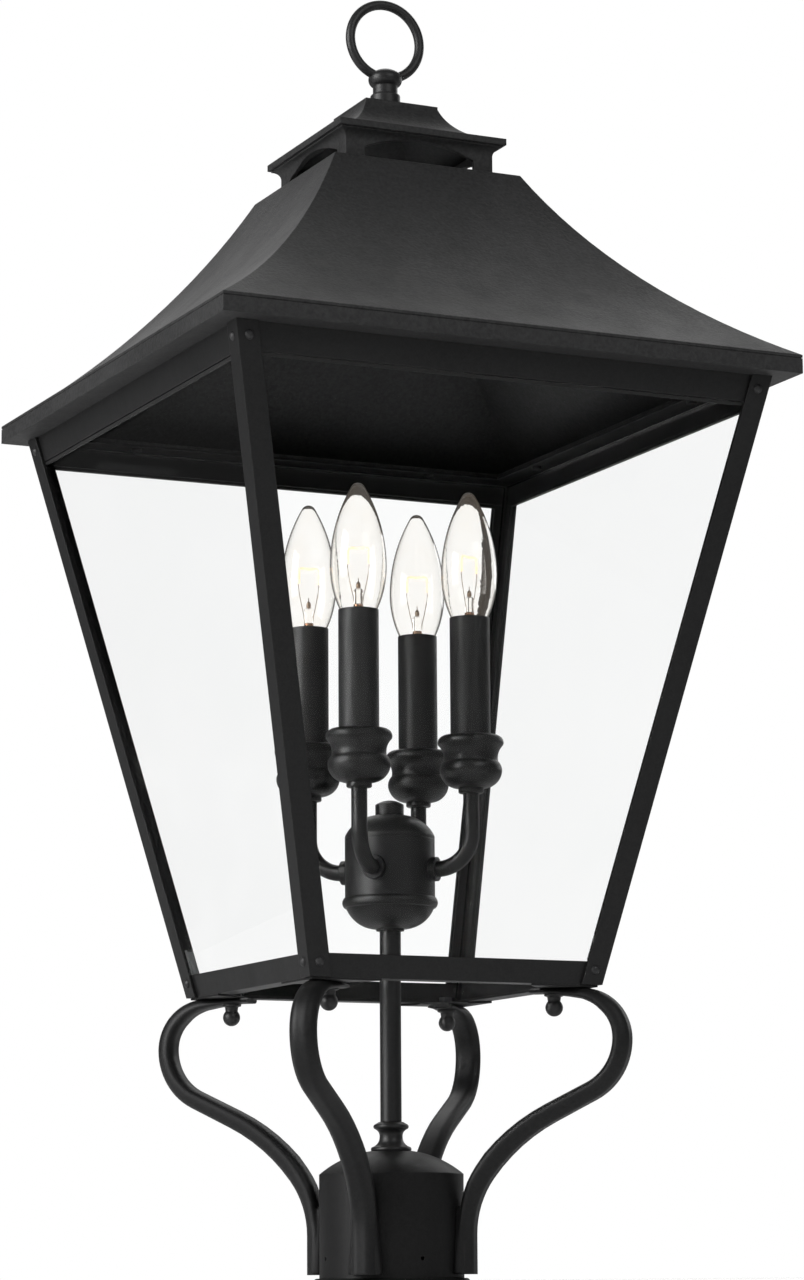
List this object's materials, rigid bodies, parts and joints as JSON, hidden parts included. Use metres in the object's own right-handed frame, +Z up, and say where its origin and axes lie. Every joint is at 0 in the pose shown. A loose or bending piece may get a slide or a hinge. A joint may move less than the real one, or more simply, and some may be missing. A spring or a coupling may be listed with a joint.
{
  "type": "post lantern",
  "caption": "Square tapered post-top lantern with clear glass sides, a vented curved roof, ring finial, scroll brackets and candle lamps on a round post fitter.",
  "frame": {"origin": "centre of the bottom rim of the post fitter", "axes": "+Z up along the post, -Y the front face, +X to the right seen from the front"},
  "size_m": [0.3556, 0.3556, 0.7628],
  "materials": {
    "fitter": "fine sand texture powder coat, black",
    "bracket": "fine sand texture powder coat, black",
    "frame": "fine sand texture powder coat, black",
    "roof": "fine sand texture powder coat, black",
    "finial": "fine sand texture powder coat, black",
    "cluster": "fine sand texture powder coat, black",
    "rivets": "fine sand texture powder coat, black",
    "panel_glass": "clear",
    "bulb_glass": "clear",
    "bulb_base": "polished nickel over brass",
    "glazing": "matte",
    "setting_block": "clear moulded",
    "fasteners": "zinc plated",
    "sleeve": "black thermoset sleeve",
    "socket": "glazed"
  },
  "bodies": {
    "lantern": {"arm_collars": "cluster", "ball_nuts": "finial", "body_knob": "cluster", "body_lid": "cluster", "bottom_rail_back": "frame", "bottom_rail_front": "frame", "bottom_rail_left": "frame", "bottom_rail_right": "frame", "bracket_bolts": "fasteners", "cage_rivets": "rivets", "candle_arm_back_left": "cluster", "candle_arm_back_right": "cluster", "candle_arm_front_left": "cluster", "candle_arm_front_right": "cluster", "candle_sleeves": "sleeve", "cluster_cup": "cluster", "corner_gussets": "frame", "corner_post_back_left": "frame", "corner_post_back_right": "frame", "corner_post_front_left": "frame", "corner_post_front_right": "frame", "cupola": "roof", "cupola_screws": "fasteners", "drip_cups": "cluster", "eave_screws": "fasteners", "finial_ball": "finial", "finial_nut": "fasteners", "finial_ring": "finial", "finial_rod": "fasteners", "foot_screws": "fasteners", "glass_panel_back": "panel_glass", "glass_panel_front": "panel_glass", "glass_panel_left": "panel_glass", "glass_panel_right": "panel_glass", "glazing_strips": "glazing", "lamp_sockets": "socket", "lock_nuts": "fasteners", "post_fitter": "fitter", "roof_shell": "roof", "scroll_bracket_back_left": "bracket", "scroll_bracket_back_right": "bracket", "scroll_bracket_front_left": "bracket", "scroll_bracket_front_right": "bracket", "setting_blocks": "setting_block", "stem_collar": "cluster", "stem_tube": "cluster", "threaded_rod": "fasteners", "top_rail_back": "frame", "top_rail_front": "frame", "top_rail_left": "frame", "top_rail_right": "frame", "vent_cap": "roof"},
    "bulb_front_right": {"bulb_base_front_right": "bulb_base", "bulb_glass_front_right": "bulb_glass"},
    "bulb_back_right": {"bulb_base_back_right": "bulb_base", "bulb_glass_back_right": "bulb_glass"},
    "bulb_back_left": {"bulb_base_back_left": "bulb_base", "bulb_glass_back_left": "bulb_glass"},
    "bulb_front_left": {"bulb_base_front_left": "bulb_base", "bulb_glass_front_left": "bulb_glass"}
  },
  "joints": [
    {"name": "bulb_front_right_lift", "type": "slide", "parent": "lantern", "child": "bulb_front_right", "axis": [0, 0, 1], "range_m": [0, 0.022]},
    {"name": "bulb_back_right_lift", "type": "slide", "parent": "lantern", "child": "bulb_back_right", "axis": [0, 0, 1], "range_m": [0, 0.022]},
    {"name": "bulb_back_left_lift", "type": "slide", "parent": "lantern", "child": "bulb_back_left", "axis": [0, 0, 1], "range_m": [0, 0.022]},
    {"name": "bulb_front_left_lift", "type": "slide", "parent": "lantern", "child": "bulb_front_left", "axis": [0, 0, 1], "range_m": [0, 0.022]}
  ]
}
